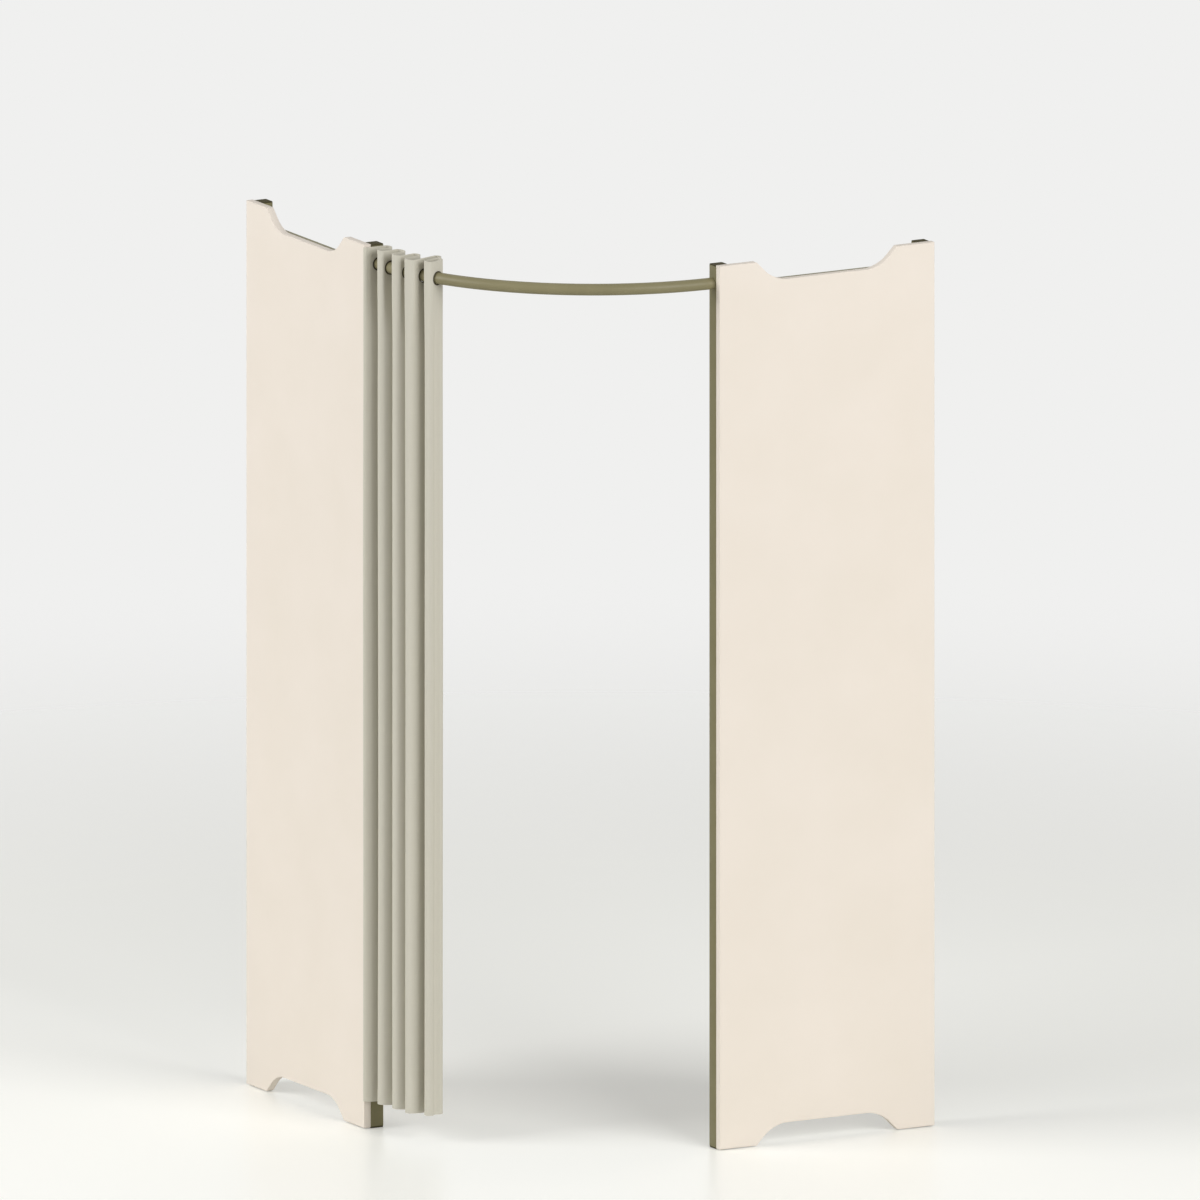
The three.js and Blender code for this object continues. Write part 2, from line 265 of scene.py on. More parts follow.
def zinc_steel():
    material, tree, shader = new_finish("zinc_steel", ZINC, Metallic=1)
    drawn = add_node(tree, "ShaderNodeMapping", Vector=object_place(tree), Scale=BRUSH_STREAKS)
    scratch = noise(tree, drawn.outputs["Vector"], scale=1, detail=3)
    connect(tree, ramp(tree, scratch, low=0.25, high=0.42), shader.inputs["Roughness"])
    add_bump(tree, shader, scratch, depth=0.01 * MM)
    return material


def ring_enamel_painted_shade():
    material, tree, shader = new_finish("ring_enamel_painted_shade", RING_OLIVE_PAINTED_SHADE, Specular_IOR_Level=0.3)
    gloss = ramp(tree, noise(tree, object_place(tree), scale=250), low=0.5, high=0.65)
    connect(tree, gloss, shader.inputs["Roughness"])
    return material


frame_paint = powder_coat("khaki_powder_coat", KHAKI, KHAKI_WORN)
# The rail's paint carries the painted highlight of its paler khaki.
rail_paint_painted_light = powder_coat("rail_powder_coat_painted_light", RAIL_KHAKI_PAINTED_LIGHT, RAIL_KHAKI_WORN_PAINTED_LIGHT)
olive_plastic = moulded_plastic()
steel = zinc_steel()
# The eyelets' enamel is dark as painted shade for the shadow in the holes.
eyelet_enamel_painted_shade = ring_enamel_painted_shade()
for finish in (frame_paint, rail_paint_painted_light, olive_plastic, steel, eyelet_enamel_painted_shade):
    print(finish.name, "has", len(finish.node_tree.nodes), "nodes")

# %% [markdown]
# The curtain is a plain weave of greige yarn. Its pattern has to follow the cloth round
# each fold, so it reads the cloth's own UV map, whose two directions are metres along the
# curtain and metres up. Two sine waves make the warp and the weft, and the higher of the
# two shows at each place. Slubs are thick places in single yarns: noise drawn out along
# each yarn's own way. A little sheen stands for the fuzz that lights up at grazing angles.

# %% Cloth finish
GREIGE = picked(209, 205, 191)
GREIGE_DARK = picked(205, 201, 186)
YARNS_PER_METRE = 1400
WARP_SLUBS = (700, 14, 1)
WEFT_SLUBS = (14, 700, 1)


def yarn_ridges(tree, uv, direction):
    """Ridges across one direction of the cloth, 0 to 1."""
    parts = add_node(tree, "ShaderNodeSeparateXYZ", Vector=uv)
    phase = calculated(tree, "MULTIPLY", parts.outputs[direction], math.tau * YARNS_PER_METRE / 2)
    return calculated(tree, "ABSOLUTE", calculated(tree, "SINE", phase))


def slubs(tree, uv, waves):
    """Noise drawn out along one set of yarns."""
    drawn = add_node(tree, "ShaderNodeMapping", Vector=uv, Scale=waves)
    return noise(tree, drawn.outputs["Vector"], scale=1, detail=3)


def woven_cloth():
    material, tree, shader = new_finish(
        "greige_weave", GREIGE, Roughness=0.85, Specular_IOR_Level=0.2, Sheen_Weight=0.12,
        Sheen_Roughness=0.4)
    uv = add_node(tree, "ShaderNodeUVMap", {"uv_map": "cloth"}).outputs["UV"]
    thick = calculated(tree, "MAXIMUM", slubs(tree, uv, WARP_SLUBS), slubs(tree, uv, WEFT_SLUBS))
    tint = blended(tree, ramp(tree, thick), GREIGE_DARK, GREIGE)
    connect(tree, tint, shader.inputs["Base Color"])
    weave = calculated(tree, "MAXIMUM", yarn_ridges(tree, uv, "X"), yarn_ridges(tree, uv, "Y"))
    add_bump(tree, shader, weave, depth=0.1 * MM, strength=0.35)
    return material


curtain_cloth = woven_cloth()
print(curtain_cloth.name, "has", YARNS_PER_METRE, "yarns to a metre")

# %% [markdown]
# Every piece is modelled as by hand: a primitive is added at its size, goes into edit
# mode, has faces or edges picked by where they are, and is shaped by operators. Operators
# act on whatever is selected, so each piece starts with nothing else selected.

# %% Start a piece and edit it
def only(piece):
    """Selects one piece alone, and makes it the active one."""
    bpy.ops.object.select_all(action="DESELECT")
    piece.select_set(True)
    bpy.context.view_layer.objects.active = piece


def begin(add_primitive, name, **sizes):
    """Adds a primitive by its operator, and names it."""
    bpy.ops.object.select_all(action="DESELECT")
    add_primitive(**sizes)
    piece = bpy.context.object
    piece.name = name
    bpy.ops.object.transform_apply(location=True, rotation=True, scale=True)
    return piece


@contextmanager
def editing(piece):
    """Edit mode on one piece."""
    only(piece)
    bpy.ops.object.mode_set(mode="EDIT")
    yield bpy.ops.mesh
    bpy.ops.object.mode_set(mode="OBJECT")


# %% Pick by place, move and extrude
FACING = 0.9


def near(value, target, reach=0.01 * MM):
    return abs(value - target) < reach


def middle_of(item):
    """The middle of a vertex, edge or face."""
    if isinstance(item, bmesh.types.BMVert):
        return item.co
    return sum((vertex.co for vertex in item.verts), Vector()) / len(item.verts)


def pick(kind, test):
    """In edit mode, selects each VERT, EDGE or FACE whose middle and self pass the test."""
    bpy.ops.mesh.select_mode(type=kind)
    bpy.ops.mesh.select_all(action="DESELECT")
    data = bpy.context.edit_object.data
    mesh = bmesh.from_edit_mesh(data)
    items = {"VERT": mesh.verts, "EDGE": mesh.edges, "FACE": mesh.faces}[kind]
    chosen = [item for item in items if test(middle_of(item), item)]
    for item in chosen:
        item.select_set(True)
    mesh.select_flush_mode()
    bmesh.update_edit_mesh(data)
    return len(chosen)


def take_all():
    """In edit mode, selects the whole mesh in the mode that was picked last."""
    bpy.ops.mesh.select_all(action="SELECT")


def anything(middle, item):
    return True


def level_at(height):
    """The test for level faces at a height."""
    return lambda middle, face: near(middle.z, height) and abs(face.normal.z) > FACING


def move(offset):
    bpy.ops.transform.translate(value=offset)


def extrude(offset):
    bpy.ops.mesh.extrude_region_move(TRANSFORM_OT_translate={"value": offset})


def face_outwards(piece):
    """Merges doubled points and turns every face to the outside."""
    with editing(piece) as mesh:
        take_all()
        mesh.remove_doubles(threshold=TOUCH)
        mesh.normals_make_consistent(inside=False)


# %% Modifiers, bars and cuts
def keep_modifier(piece, kind, **settings):
    """Adds a modifier and applies it."""
    only(piece)
    modifier = piece.modifiers.new(kind.lower(), kind)
    for setting, value in settings.items():
        setattr(modifier, setting, value)
    bpy.ops.object.modifier_apply(modifier=modifier.name)


def joined(parts):
    """Several objects as one."""
    only(parts[0])
    for part in parts:
        part.select_set(True)
    if len(parts) > 1:
        bpy.ops.object.join()
    return parts[0]


def cut(piece, cutters):
    """Cuts solids out of a piece, and removes them."""
    cutter = joined(cutters)
    keep_modifier(piece, "BOOLEAN", object=cutter, operation="DIFFERENCE", solver="EXACT")
    bpy.data.objects.remove(cutter)


def bar(start, end, radius, sides=32):
    """A round bar between two points."""
    way = end - start
    turn = way.to_track_quat("Z", "Y").to_euler()
    return begin(bpy.ops.mesh.primitive_cylinder_add, "bar", vertices=sides, radius=radius,
                 depth=way.length, location=(start + end) / 2, rotation=turn)


# %% Finish a piece
def finished(piece, material, body, node, angle=40):
    """Shades a piece, and gives it its material, body and the node it stands for."""
    only(piece)
    bpy.ops.object.shade_smooth_by_angle(angle=math.radians(angle))
    if material:
        piece.data.materials.clear()
        piece.data.materials.append(material)
    if node:
        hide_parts(node)
    if body:
        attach(piece, body)


# %% [markdown]
# The fitting room is the same on both sides of the upright plane through its front corner.
# So each piece of the right side is modelled once, and the left one is a copy with x and y
# exchanged. That exchange is a mirror: it turns the faces inside out, so they are flipped.

# %% A copy for the other side
EXCHANGE = Matrix(((0, 1, 0, 0), (1, 0, 0, 0), (0, 0, 1, 0), (0, 0, 0, 1)))


def copy_of(piece, name):
    """A copy with a mesh of its own."""
    copy = bpy.data.objects.new(name, piece.data.copy())
    bpy.context.collection.objects.link(copy)
    return copy


def both_sides(piece, part, material, angle=30):
    """Finishes a right-hand piece, and its copy on the left, for the node right_ or left_part."""
    left = copy_of(piece, f"left_{part}_fine")
    left.data.transform(EXCHANGE)
    left.data.flip_normals()
    piece.name = f"right_{part}_fine"
    for side, copy in (("right", piece), ("left", left)):
        finished(copy, material, "root", f"{side}_{part}", angle)
    print(part, len(piece.data.polygons), "faces a side")


# %% [markdown]
# A panel is an upright rectangle with a long cut-out in its top and bottom edge. A joiner
# would mark the cut-outs, saw them, and round their corners. Here the sheet is cut along
# the same lines with bisect, the waste is deleted, the left-over lines are dissolved, and
# the corners are rounded by bevelling single vertices. Only then is it made 18 mm thick.

# %% The plain sheet
panel_low, panel_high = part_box("right_panel")
panel_size = panel_high - panel_low
panel_middle = (panel_low + panel_high) / 2
panel = begin(bpy.ops.mesh.primitive_plane_add, "panel", size=1, rotation=(math.radians(90), 0, 0),
              location=(panel_middle.x, panel_low.y, panel_middle.z))
with editing(panel):
    take_all()
    bpy.ops.transform.resize(value=(panel_size.x, 0, panel_size.z))
print("a panel is", [round(side, 3) for side in panel_size], "m")

# %% The cut-outs
CUTOUT_INSET = 100 * MM
CUTOUT_DEPTH = 48 * MM


def from_side(point):
    """How far in from the nearer side edge of the panel."""
    return min(point.x - panel_low.x, panel_high.x - point.x)


def from_end(point):
    """How far in from the top or bottom edge of the panel, whichever is nearer."""
    return min(point.z - panel_low.z, panel_high.z - point.z)


def in_cutout(point, face):
    return from_end(point) <= min(from_side(point) - CUTOUT_INSET, CUTOUT_DEPTH)


def is_cutout_corner(point, vertex):
    return from_side(point) > CUTOUT_INSET / 2


def saw(point, normal):
    take_all()
    bpy.ops.mesh.bisect(plane_co=point, plane_no=normal)


with editing(panel) as mesh:
    for edge, into in ((panel_low.z, 1), (panel_high.z, -1)):
        saw((0, 0, edge + into * CUTOUT_DEPTH), UP)
        saw((panel_low.x + CUTOUT_INSET, 0, edge), (1, 0, -into))
        saw((panel_high.x - CUTOUT_INSET, 0, edge), (-1, 0, -into))
    pick("FACE", in_cutout)
    mesh.delete(type="FACE")
    take_all()
    mesh.dissolve_limited(angle_limit=math.radians(1))
    corners = pick("VERT", is_cutout_corner)
print("cut-out corners:", corners)
assert corners == 8

# %% [markdown]
# A vertex bevel keeps the distance from the corner to the start of the curve. For a corner
# that turns by 45 degrees this is the radius times the tangent of half of that.

# %% Rounded corners and thickness
CORNER_TURN = math.radians(45)
CUTOUT_FILLET = 80 * MM
CUTOUT_LIP = 5 * MM
EDGE_ROUND = 0.8 * MM
tangent_share = math.tan(CORNER_TURN / 2)

with editing(panel) as mesh:
    for radius, depth in ((CUTOUT_FILLET, CUTOUT_DEPTH), (CUTOUT_LIP, 0)):
        pick("VERT", lambda point, vertex: is_cutout_corner(point, vertex)
             and near(from_end(point), depth))
        mesh.bevel(affect="VERTICES", offset=radius * tangent_share, segments=10)
    pick("FACE", anything)
    extrude((0, panel_size.y, 0))
    take_all()
    mesh.normals_make_consistent(inside=False)
    pick("EDGE", lambda middle, edge: any(abs(face.normal.y) > FACING for face in edge.link_faces))
    mesh.bevel(offset=EDGE_ROUND, segments=3, affect="EDGES")
print("a panel has", len(panel.data.polygons), "faces so far")

# %% [markdown]
# The edge band ends at a hair-thin glue line just inside the panel's face. Two insets, one
# down and one up again, leave it as a groove. The two broad faces then take the laminate,
# and all else is band.

# %% Edge bands
BAND_THICKNESS = 1.2 * MM
GLUE_LINE = 0.15 * MM
BROAD_AREA = 0.1

with editing(panel) as mesh:
    pick("FACE", lambda middle, face: face.calc_area() > BROAD_AREA)
    mesh.inset(thickness=BAND_THICKNESS - EDGE_ROUND, depth=0)
    mesh.inset(thickness=GLUE_LINE, depth=-GLUE_LINE)
    mesh.inset(thickness=GLUE_LINE, depth=GLUE_LINE)

for material in (panel_band, panel_face):
    panel.data.materials.append(material)
for face in panel.data.polygons:
    face.material_index = int(face.area > BROAD_AREA)
both_sides(panel, "panel", None, angle=40)

# %% [markdown]
# The posts are square tube, 35 mm on a side with a 2 mm wall and rounded corners. A square
# face has its corners bevelled, is inset by the wall, loses its middle, and is extruded to
# the post's height. The holes for screws and bolts are drilled with round cutters.

# %% Square tube
POST_WALL = 2 * MM
POST_CORNER = 3 * MM


def rounded_plate(name, low, high, corner):
    """A level rectangle with rounded corners, at the lower height."""
    plate = begin(bpy.ops.mesh.primitive_plane_add, name, size=1,
                  location=((low.x + high.x) / 2, (low.y + high.y) / 2, low.z))
    with editing(plate) as mesh:
        take_all()
        bpy.ops.transform.resize(value=(high.x - low.x, high.y - low.y, 1))
        mesh.bevel(affect="VERTICES", offset=corner, segments=5)
    return plate


def square_tube(name, low, high):
    tube = rounded_plate(name, low, high, POST_CORNER)
    with editing(tube) as mesh:
        pick("FACE", anything)
        mesh.inset(thickness=POST_WALL)
        mesh.delete(type="FACE")
        take_all()
        extrude((0, 0, high.z - low.z))
    face_outwards(tube)
    return tube


# %% Cutters for the holes
SCREW_HOLE = 2.7 * MM
SCREW_SHARES = (0.04, 0.5, 0.96)
OVERRUN = 4 * MM


def panel_heights(shares):
    """Heights at these shares of the panel's own height."""
    return [panel_low.z + share * panel_size.z for share in shares]


def drill_for_screws(low, high):
    """Cutters through both faces of a post that look along y."""
    across = (low.x + high.x) / 2
    start, end = low.y - OVERRUN, high.y + OVERRUN
    return [bar(Vector((across, start, z)), Vector((across, end, z)), SCREW_HOLE)
            for z in panel_heights(SCREW_SHARES)]


def drill_across(low, high, z, near_radius, far_radius):
    """A cutter through each of the two faces of a post that look along x."""
    middle = Vector(((low.x + high.x) / 2, (low.y + high.y) / 2, z))
    ends = ((low.x - OVERRUN, near_radius), (high.x + OVERRUN, far_radius))
    return [bar(Vector((x, middle.y, z)), middle, radius) for x, radius in ends]


# %% Front and back posts
BOLT_HOLE = 4.3 * MM
FIXING_HOLE = 4 * MM
FIXING_ACCESS = 9 * MM
FIXING_SHARES = (0.12, 0.5, 0.88)
rail_low, rail_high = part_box("curtain_rail")
rail_height = (rail_low.z + rail_high.z) / 2

for end in ("front", "wall"):
    low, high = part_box(f"right_{end}_post")
    post = square_tube("post", low, high)
    holes = drill_for_screws(low, high)
    if end == "front":
        holes += drill_across(low, high, rail_height, BOLT_HOLE, BOLT_HOLE)
    else:
        for z in panel_heights(FIXING_SHARES):
            holes += drill_across(low, high, z, FIXING_ACCESS, FIXING_HOLE)
    cut(post, holes)
    both_sides(post, f"{end}_post", frame_paint)

# %% [markdown]
# A cap and a foot are both a moulded square plate with a plug that is pressed into the
# tube. The plate's outer arris is rounded, as a mould needs, and the cap is very slightly
# crowned. A rounded square can't be inset by more than its corner's radius, or the corner
# turns over. So a deep inset starts at zero width, and the new face is then scaled towards
# its middle.

# %% A plate with a plug
GAP = 0.3 * MM
LID_ROUND = 0.9 * MM
CROWN = 0.3 * MM
CROWN_MARGIN = 6 * MM
PLUG_WALL = 3 * MM
post_low, post_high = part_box("right_front_post")
plug_side = post_high.x - post_low.x - 2 * (POST_WALL + GAP)


def inset_by_scale(side, margin):
    bpy.ops.mesh.inset(thickness=0)
    share = 1 - 2 * margin / side
    bpy.ops.transform.resize(value=(share, share, 1))


def plugged_plate(name, low, high, thickness, is_lid):
    """A plate at the top of its box, for a cap, or at the bottom, for a foot."""
    way = 1 if is_lid else -1
    face_z = high.z - CROWN if is_lid else low.z
    side = high.x - low.x
    start = Vector((low.x, low.y, face_z - way * thickness))
    plate = rounded_plate(name, start, high, POST_CORNER)
    plug_length = high.z - low.z - thickness
    with editing(plate) as mesh:
        pick("FACE", anything)
        extrude((0, 0, way * thickness))
        take_all()
        mesh.normals_make_consistent(inside=False)
        pick("EDGE", lambda middle, edge: near(middle.z, face_z))
        mesh.bevel(offset=LID_ROUND, segments=4, affect="EDGES")
        pick("FACE", level_at(face_z))
        if is_lid:
            inset_by_scale(side - 2 * LID_ROUND, CROWN_MARGIN)
            move((0, 0, CROWN))
        pick("FACE", level_at(face_z - way * thickness))
        mesh.inset(thickness=(side - plug_side) / 2)
        extrude((0, 0, -way * plug_length))
        inset_by_scale(plug_side, PLUG_WALL)
        extrude((0, 0, way * (plug_length - PLUG_WALL)))
    face_outwards(plate)
    return plate


# %% Caps and feet
LID_THICKNESS = 2.2 * MM
FOOT_THICKNESS = 3.7 * MM

for end in ("front", "wall"):
    for part, thickness in (("cap", LID_THICKNESS), ("glide", FOOT_THICKNESS)):
        low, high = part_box(f"right_{end}_{part}")
        piece = plugged_plate(part, low, high, thickness, part == "cap")
        both_sides(piece, f"{end}_{part}", olive_plastic)

# %% [markdown]
# A flat tube runs behind each panel just beyond its cut-outs, welded to the posts at both
# ends. A weld lies round the tube as a small coved bead. The bead is a plug that narrows
# in steps and ends just inside the tube's wall: solids that only touch don't join well.

# %% Flat tube
CROSS_CORNER = 1 * MM
CROSS_WALL = 1.5 * MM
SINK = 0.1 * MM


def flat_tube(size):
    """A tube of this length, depth and height, modelled upright round the origin."""
    tube = rounded_plate("cross_rail", Vector((-size.z / 2, -size.y / 2, SINK)),
                         Vector((size.z / 2, size.y / 2, SINK)), CROSS_CORNER)
    with editing(tube) as mesh:
        pick("FACE", anything)
        mesh.inset(thickness=0)
        shares = [1 - 2 * CROSS_WALL / side for side in (size.z, size.y)]
        bpy.ops.transform.resize(value=(*shares, 1))
        mesh.delete(type="FACE")
        take_all()
        extrude((0, 0, size.x - 2 * SINK))
    face_outwards(tube)
    return tube


# %% Weld bead
WELD = 2.4 * MM
WELD_STEPS = 4


def weld_bead(size, end, way):
    """A coved bead round a tube's end, cut off flush on the side of the panel."""
    width, depth = size.z + 2 * WELD, size.y + 2 * WELD
    bead = rounded_plate("bead", Vector((-width / 2, -depth / 2, end)),
                         Vector((width / 2, depth / 2, end)), WELD)
    with editing(bead) as mesh:
        pick("FACE", anything)
        for i in range(WELD_STEPS):
            now, after = [math.tau / 4 * step / WELD_STEPS for step in (i, i + 1)]
            extrude((0, 0, way * WELD * (math.cos(now) - math.cos(after))))
            wide, narrow = [WELD - (WELD + SINK) * math.sin(swing) for swing in (now, after)]
            shares = [(side + 2 * narrow) / (side + 2 * wide) for side in (size.z, size.y)]
            bpy.ops.transform.resize(value=(*shares, 1))
        take_all()
        mesh.bisect(plane_co=(0, SINK - size.y / 2, 0), plane_no=(0, -1, 0), clear_outer=True,
                    use_fill=True, threshold=TOUCH)
    face_outwards(bead)
    return bead


# %% Cross rails
for level in ("upper", "lower"):
    low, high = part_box(f"right_{level}_cross_rail")
    size, middle = high - low, (low + high) / 2
    tube = flat_tube(size)
    for end, way in ((0, 1), (size.x, -1)):
        bead = weld_bead(size, end, way)
        keep_modifier(tube, "BOOLEAN", object=bead, operation="UNION", solver="EXACT")
        bpy.data.objects.remove(bead)
    lay_down = Matrix(((0, 0, 1, low.x), (0, 1, 0, middle.y), (-1, 0, 0, middle.z), (0, 0, 0, 1)))
    tube.data.transform(lay_down)
    both_sides(tube, f"{level}_cross_rail", frame_paint)

# %% [markdown]
# Screws, bolts, the sleeves in the rail's ends and the eyelets are all round about one
# axis. Each starts as one vertex, which is extruded from point to point along half of its
# section, and the line is spun round the axis.

# %% Helpers for turned parts
def drawn_line(name, points, closed=False):
    """A line of edges, drawn by extruding one vertex from point to point."""
    line = begin(bpy.ops.mesh.primitive_plane_add, name, size=MM)
    points = [Vector(point) for point in points]
    if closed:
        points.append(points[0])
    with editing(line) as mesh:
        mesh.select_mode(type="VERT")
        take_all()
        mesh.merge(type="CENTER")
        take_all()
        move(points[0])
        for before, after in zip(points, points[1:]):
            extrude(after - before)
        if closed:
            take_all()
            mesh.remove_doubles(threshold=TOUCH)
    return line


def turned(name, profile, steps, closed=False):
    """Spins a profile of (radius, height) points round the Z axis."""
    piece = drawn_line(name, [(radius, 0, height) for radius, height in profile], closed)
    with editing(piece) as mesh:
        take_all()
        mesh.spin(steps=steps, angle=math.tau, center=(0, 0, 0), axis=(0, 0, 1))
    face_outwards(piece)
    return piece


def arc(centre, radius, start, end, steps):
    """Points of an arc, with its angles in degrees."""
    angles = [math.radians(start + (end - start) * i / steps) for i in range(steps + 1)]
    return [(centre[0] + radius * math.cos(a), centre[1] + radius * math.sin(a)) for a in angles]


def placed(piece, axis, point):
    """Turns a piece's Z axis to a direction and moves its origin to a point."""
    turn = Vector(axis).to_track_quat("Z", "X").to_matrix().to_4x4()
    piece.data.transform(Matrix.Translation(point) @ turn)
    return piece


# %% [markdown]
# Three screws hold each post to its panel. Each has a pan head with a cross recess, which
# is cut with two crossed wedges, and a point that ends in the board.

# %% One screw
SCREW_RADIUS = 2.4 * MM
POINT_RADIUS = 1.68 * MM
POINT_LENGTH = 4 * MM
TAPER_LENGTH = 6 * MM
SCREW_HEAD_RADIUS = 5 * MM
HEAD_EDGE = 0.2 * MM
HEAD_ROUND = 2.2 * MM
RECESS_REACH = 2.9 * MM
RECESS_WIDTH = 0.9 * MM
RECESS_DEPTH = 1.9 * MM
RECESS_TAPER = 0.55


def screw_with_head(length, head_height):
    """A screw whose head sits on the level of the origin."""
    dome = arc((SCREW_HEAD_RADIUS - HEAD_ROUND, head_height - HEAD_ROUND), HEAD_ROUND,
               start=0, end=75, steps=6)
    profile = [(0, -length), (POINT_RADIUS, POINT_LENGTH - length),
               (SCREW_RADIUS, TAPER_LENGTH - length), (SCREW_RADIUS, 0),
               (SCREW_HEAD_RADIUS - HEAD_EDGE, 0), (SCREW_HEAD_RADIUS, HEAD_EDGE),
               *dome, (0, head_height)]
    screw = turned("screw", profile, steps=28)
    for size in ((RECESS_REACH, RECESS_WIDTH), (RECESS_WIDTH, RECESS_REACH)):
        blade = begin(bpy.ops.mesh.primitive_cube_add, "blade", size=2, location=(0, 0, head_height),
                      scale=(*size, RECESS_DEPTH))
        with editing(blade):
            pick("FACE", lambda middle, face: face.normal.z < -FACING)
            bpy.ops.transform.resize(value=(RECESS_TAPER, RECESS_TAPER, 1))
        cut(screw, [blade])
    return screw


# %% Panel screws
low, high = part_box("right_front_screw_1")
seat = post_high.y + GAP
screw = screw_with_head(seat - low.y, high.y - seat)
for end in ("front", "wall"):
    for number in (1, 2, 3):
        low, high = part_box(f"right_{end}_screw_{number}")
        middle = (low + high) / 2
        copy = placed(copy_of(screw, "screw"), (0, 1, 0), Vector((middle.x, seat, middle.z)))
        both_sides(copy, f"{end}_screw_{number}", steel)
bpy.data.objects.remove(screw)

# %% [markdown]
# The curtain rail is a round tube bent to a quarter circle. A circle of its section stands
# at the left end, is spun a quarter turn about the middle of the bend, and gets its wall
# from a Solidify modifier. One bolt through each front post pulls it tight: a button head
# with a hexagon socket, screwed into a sleeve in the rail's end.

# %% Curtain rail
RAIL_RADIUS = 14 * MM
RAIL_WALL = 1.5 * MM
hinge = next(joint for joint in frame["joints"] if joint["name"] == "curtain_draw")
bend_centre = Vector(hinge["pos_m"])
bend_radius = bend_centre.x - rail_low.x - RAIL_RADIUS
end_turn = math.asin((bend_centre.y - rail_high.y) / bend_radius)

rail = begin(bpy.ops.mesh.primitive_circle_add, "rail_tube", vertices=40, radius=RAIL_RADIUS,
             location=(bend_centre.x - bend_radius, rail_high.y, rail_height),
             rotation=(math.radians(90), 0, 0))
with editing(rail) as mesh:
    take_all()
    mesh.spin(steps=72, angle=2 * end_turn - math.tau / 4,
              center=(bend_centre.x, bend_centre.y, rail_height), axis=(0, 0, 1))
    take_all()
    mesh.normals_make_consistent(inside=False)
keep_modifier(rail, "SOLIDIFY", thickness=RAIL_WALL, offset=-1, use_even_offset=True)
# The rail takes the paler khaki, a painted highlight on the same paint as the posts.
finished(rail, rail_paint_painted_light, "root", "curtain_rail", angle=30)
print("the rail is bent to a radius of", round(bend_radius, 3), "m,", len(rail.data.polygons), "faces")

# %% Rail bolts
BOLT_RADIUS = 4 * MM
BOLT_CHAMFER = 0.6 * MM
BOLT_HEAD_RADIUS = 7 * MM
BOLT_HEAD_FLAT = 3.6 * MM
BOLT_HEAD_EDGE = 0.3 * MM
BOLT_HEAD_RIM = 1.1 * MM
DOME_STEPS = 7
SOCKET_RADIUS = 2.9 * MM
SOCKET_DEPTH = 2.4 * MM

low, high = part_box("right_rail_bolt")
middle = (low + high) / 2
seat = post_high.x + GAP
tip, top = low.x - seat, high.x - seat
swings = [math.tau / 4 * i / DOME_STEPS for i in range(DOME_STEPS + 1)]
dome = [(BOLT_HEAD_FLAT + (BOLT_HEAD_RADIUS - BOLT_HEAD_FLAT) * math.cos(swing),
         BOLT_HEAD_RIM + (top - BOLT_HEAD_RIM) * math.sin(swing)) for swing in swings]
profile = [(0, tip), (BOLT_RADIUS - BOLT_CHAMFER, tip), (BOLT_RADIUS, tip + BOLT_CHAMFER),
           (BOLT_RADIUS, 0), (BOLT_HEAD_RADIUS - BOLT_HEAD_EDGE, 0), (BOLT_HEAD_RADIUS, BOLT_HEAD_EDGE),
           *dome, (0, top)]
bolt = turned("bolt", profile, steps=36)
cut(bolt, [bar(UP * (top - SOCKET_DEPTH), UP * (top + OVERRUN), SOCKET_RADIUS, sides=6)])
placed(bolt, (1, 0, 0), Vector((seat, middle.y, middle.z)))
both_sides(bolt, "rail_bolt", steel)

# %% Sleeves in the rail's ends
SLEEVE_BORE = 4.3 * MM
SLEEVE_CHAMFER = 0.5 * MM

low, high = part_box("right_rail_plug")
middle = (low + high) / 2
length, radius = high.x - low.x, (high.z - low.z) / 2
profile = [(SLEEVE_BORE, 0), (radius - SLEEVE_CHAMFER, 0), (radius, SLEEVE_CHAMFER), (radius, length),
           (SLEEVE_BORE, length)]
sleeve = turned("sleeve", profile, steps=36, closed=True)
placed(sleeve, (1, 0, 0), Vector((low.x, middle.y, middle.z)))
both_sides(sleeve, "rail_plug", steel)

# %% [markdown]
# The curtain is one cloth, set in waves by nine eyelets on the rail. Each eyelet slides by
# itself, so the cloth is made as one piece from each eyelet to the next. The pieces meet on
# the straight stretches in line with the eyelets, where the seam can't be seen.

# %% Eyelets and turns along the rail
EYELETS = 9
FIRST_CURL = -5.7 * MM
LAST_CURL = -11 * MM


def eyelet_middle(number):
    low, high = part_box(f"eyelet_{number}")
    return (low + high) / 2


def plan_angle(point):
    return math.atan2(bend_centre.y - point.y, bend_centre.x - point.x)


def rail_point(angle, offset, height=0):
    """The point at a plan angle, this far outside the rail's line."""
    reach = bend_radius + offset
    return Vector((bend_centre.x - reach * math.cos(angle), bend_centre.y - reach * math.sin(angle),
                   height))


eyelet_angles = [plan_angle(eyelet_middle(number)) for number in range(1, EYELETS + 1)]
turn_angles = [(a + b) / 2 for a, b in zip(eyelet_angles, eyelet_angles[1:])]
turn_angles = [eyelet_angles[0] + FIRST_CURL / bend_radius, *turn_angles,
               eyelet_angles[-1] + LAST_CURL / bend_radius]
print("eyelets at", [round(math.degrees(angle), 1) for angle in eyelet_angles], "degrees")

# %% [markdown]
# An eyelet holds the cloth flat: there it runs straight across the rail, and turns in a
# tight bend outside or inside it. A hand's width lower nothing holds it any more, and the
# legs that face the doorway belly out, in one long curve from the outer bend to the inner
# one. So each place of the plan has two angles, one beside the eyelets and a free one. The
# last leg ends in the loose edge, and nothing stretches it: it ripples a little. No two
# folds are quite alike, so each turn reaches out by its own share of a full fold.

